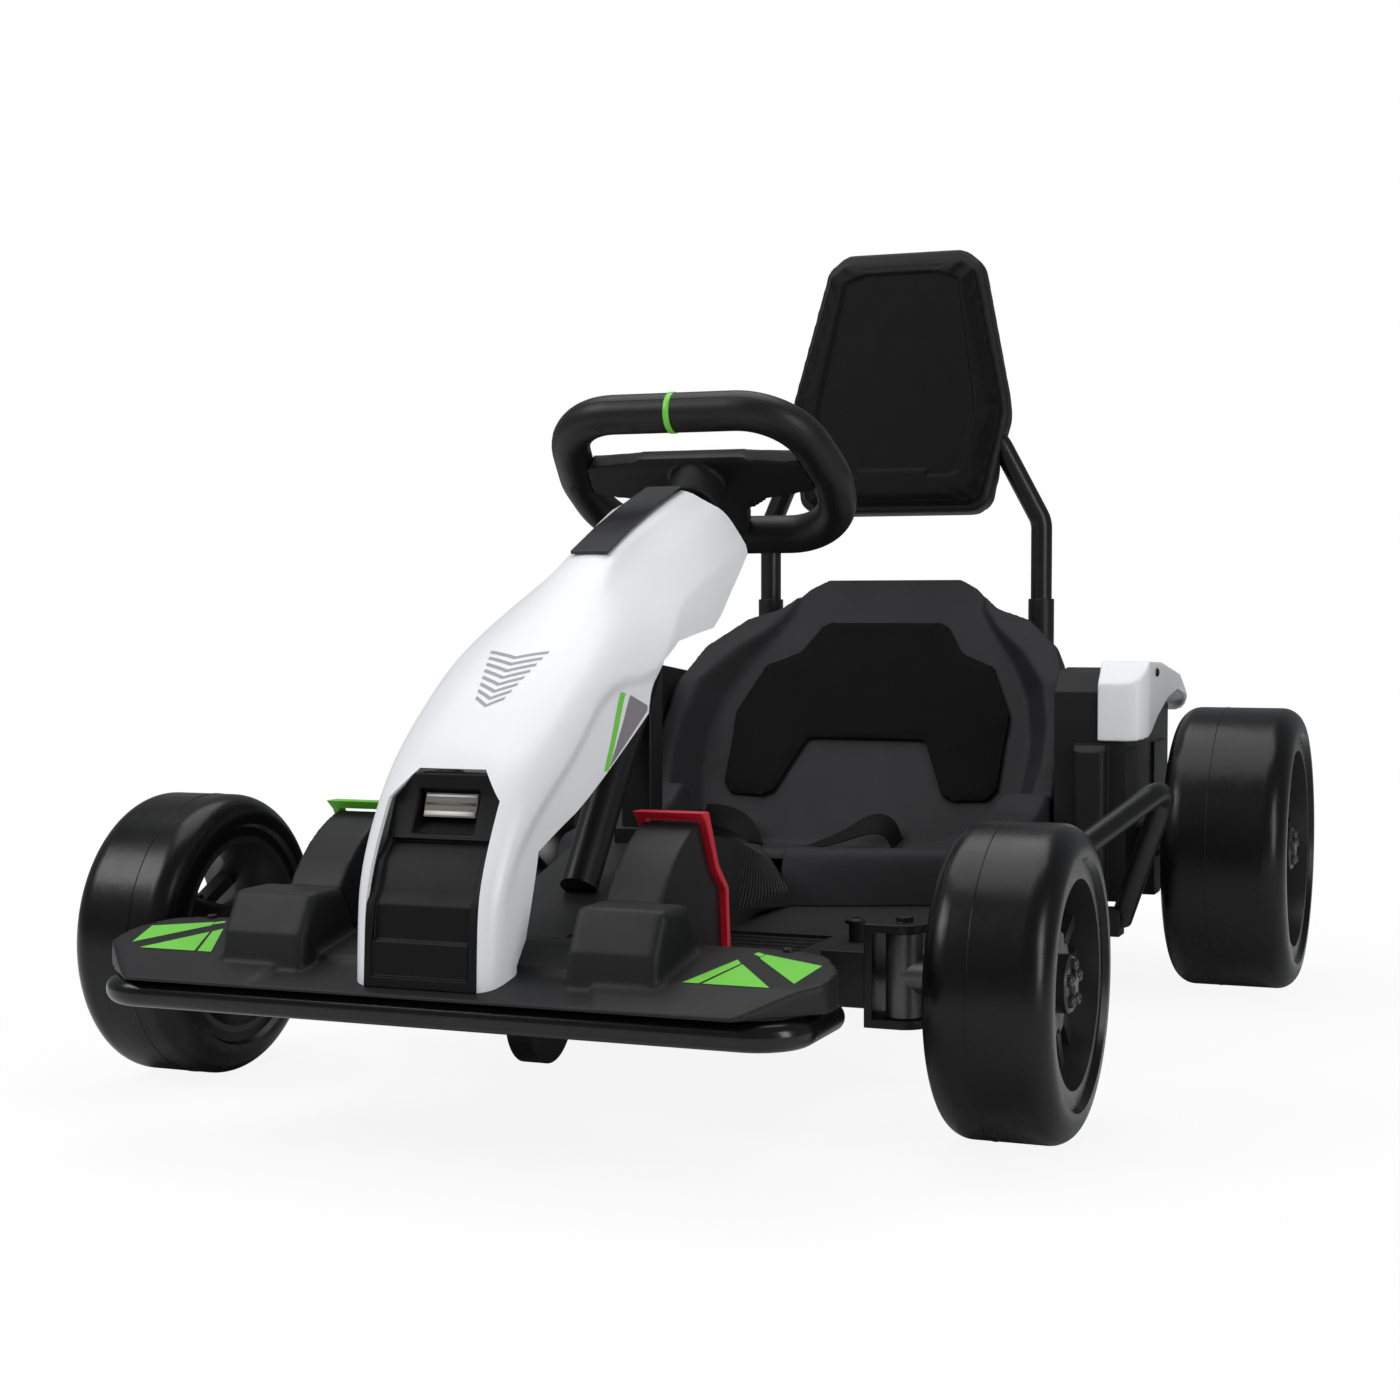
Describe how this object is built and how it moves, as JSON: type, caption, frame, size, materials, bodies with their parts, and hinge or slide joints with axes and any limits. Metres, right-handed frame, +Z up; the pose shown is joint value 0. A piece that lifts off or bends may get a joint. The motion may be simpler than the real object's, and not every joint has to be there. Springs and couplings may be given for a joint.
{
  "type": "ride-on electric drift kart",
  "caption": "Child's electric drift kart: tubular chassis, long hooded white nose over a black wing, bucket seat, tall backrest, slick tyres on spoked wheels",
  "frame": {"origin": "on the ground, midway between the bumper's front and the back of the backrest, in the middle of the width", "axes": "+Z up, the kart faces -Y, the driver's left is +X"},
  "size_m": [0.871, 1.0984, 0.7413],
  "materials": {
    "frame_steel": "satin black powder coat",
    "gloss_tube": "gloss black",
    "tube_steel": "satin black",
    "black_plastic": "fine grained matte",
    "seat_plastic": "fine grained matte",
    "foam_pad": "matte closed-cell foam",
    "backrest_skin": "grained matte",
    "white_plastic": "satin gloss white",
    "lamp_clear": "clear",
    "dash_gloss": "gloss dark grey",
    "red_plastic": "satin",
    "green_plastic": "satin",
    "grip_plastic": "satin wrap with a fine weave",
    "zinc_steel": "dull zinc",
    "guide_rubber": "satin",
    "tyre_black": "glossy satin slick",
    "rim_plastic": "satin"
  },
  "bodies": {
    "chassis": {"frame_main": "frame_steel", "front_beam": "frame_steel", "bumper_tube": "gloss_tube", "side_bar_left": "tube_steel", "side_bar_right": "tube_steel", "front_wing": "black_plastic", "nose_shell": "white_plastic", "nose_grille": "black_plastic", "headlamp_lens": "lamp_clear", "dash_strip": "dash_gloss", "column_tube": "tube_steel", "floor_pan": "black_plastic", "pedal_brake": "black_plastic", "pedal_accelerator": "black_plastic", "brake_band": "red_plastic", "accelerator_band": "green_plastic", "seat_shell": "seat_plastic", "seat_back_pad": "foam_pad", "rear_housing": "black_plastic", "rear_fender_left": "white_plastic", "rear_fender_right": "white_plastic", "backrest_tubes": "tube_steel", "backrest_pad": "backrest_skin", "backrest_shell": "black_plastic", "rear_axle": "zinc_steel", "drive_unit_left": "black_plastic", "drive_unit_right": "black_plastic", "battery_box": "black_plastic", "guide_fork": "frame_steel"},
    "steering": {"steering_hub": "black_plastic", "steering_rim": "grip_plastic"},
    "knuckle_left_body": {"knuckle_left": "zinc_steel"},
    "knuckle_right_body": {"knuckle_right": "zinc_steel"},
    "tie_rod_body": {"tie_rod": "zinc_steel"},
    "wheel_front_left": {"tyre_front_left": "tyre_black", "rim_front_left": "rim_plastic"},
    "wheel_front_right": {"tyre_front_right": "tyre_black", "rim_front_right": "rim_plastic"},
    "wheel_rear_left": {"tyre_rear_left": "tyre_black", "rim_rear_left": "rim_plastic"},
    "wheel_rear_right": {"tyre_rear_right": "tyre_black", "rim_rear_right": "rim_plastic"},
    "guide_wheel_body": {"guide_wheel": "guide_rubber"}
  },
  "joints": [
    {"name": "steer", "type": "hinge", "parent": "chassis", "child": "steering", "pos_m": [0, -0.06417, 0.473], "axis": [0, 0.6018, 0.7986], "range_deg": [-40, 40]},
    {"name": "kingpin_left", "type": "hinge", "parent": "chassis", "child": "knuckle_left_body", "pos_m": [0.246, -0.29817, 0.108], "axis": [0, 0, 1], "range_deg": [-20, 20]},
    {"name": "kingpin_right", "type": "hinge", "parent": "chassis", "child": "knuckle_right_body", "pos_m": [-0.246, -0.29817, 0.108], "axis": [0, 0, 1], "range_deg": [-20, 20]},
    {"name": "tie_rod_slide", "type": "slide", "parent": "chassis", "child": "tie_rod_body", "axis": [-1, 0, 0], "range_m": [-0.0217, 0.0217]},
    {"name": "spin_front_left", "type": "hinge", "parent": "knuckle_left_body", "child": "wheel_front_left", "pos_m": [0.328, -0.29817, 0.108], "axis": [1, 0, 0], "continuous": true},
    {"name": "spin_rear_left", "type": "hinge", "parent": "chassis", "child": "wheel_rear_left", "pos_m": [0.379, 0.38083, 0.133], "axis": [1, 0, 0], "continuous": true},
    {"name": "spin_front_right", "type": "hinge", "parent": "knuckle_right_body", "child": "wheel_front_right", "pos_m": [-0.328, -0.29817, 0.108], "axis": [1, 0, 0], "continuous": true},
    {"name": "spin_rear_right", "type": "hinge", "parent": "chassis", "child": "wheel_rear_right", "pos_m": [-0.379, 0.38083, 0.133], "axis": [1, 0, 0], "continuous": true},
    {"name": "spin_guide", "type": "hinge", "parent": "chassis", "child": "guide_wheel_body", "pos_m": [0, -0.36617, 0.078], "axis": [1, 0, 0], "continuous": true}
  ],
  "couplings": [
    {"joint": "kingpin_left", "follows": "steer", "ratio": 0.5},
    {"joint": "kingpin_right", "follows": "steer", "ratio": 0.5},
    {"joint": "tie_rod_slide", "follows": "steer", "m_per_rad": 0.0305}
  ]
}
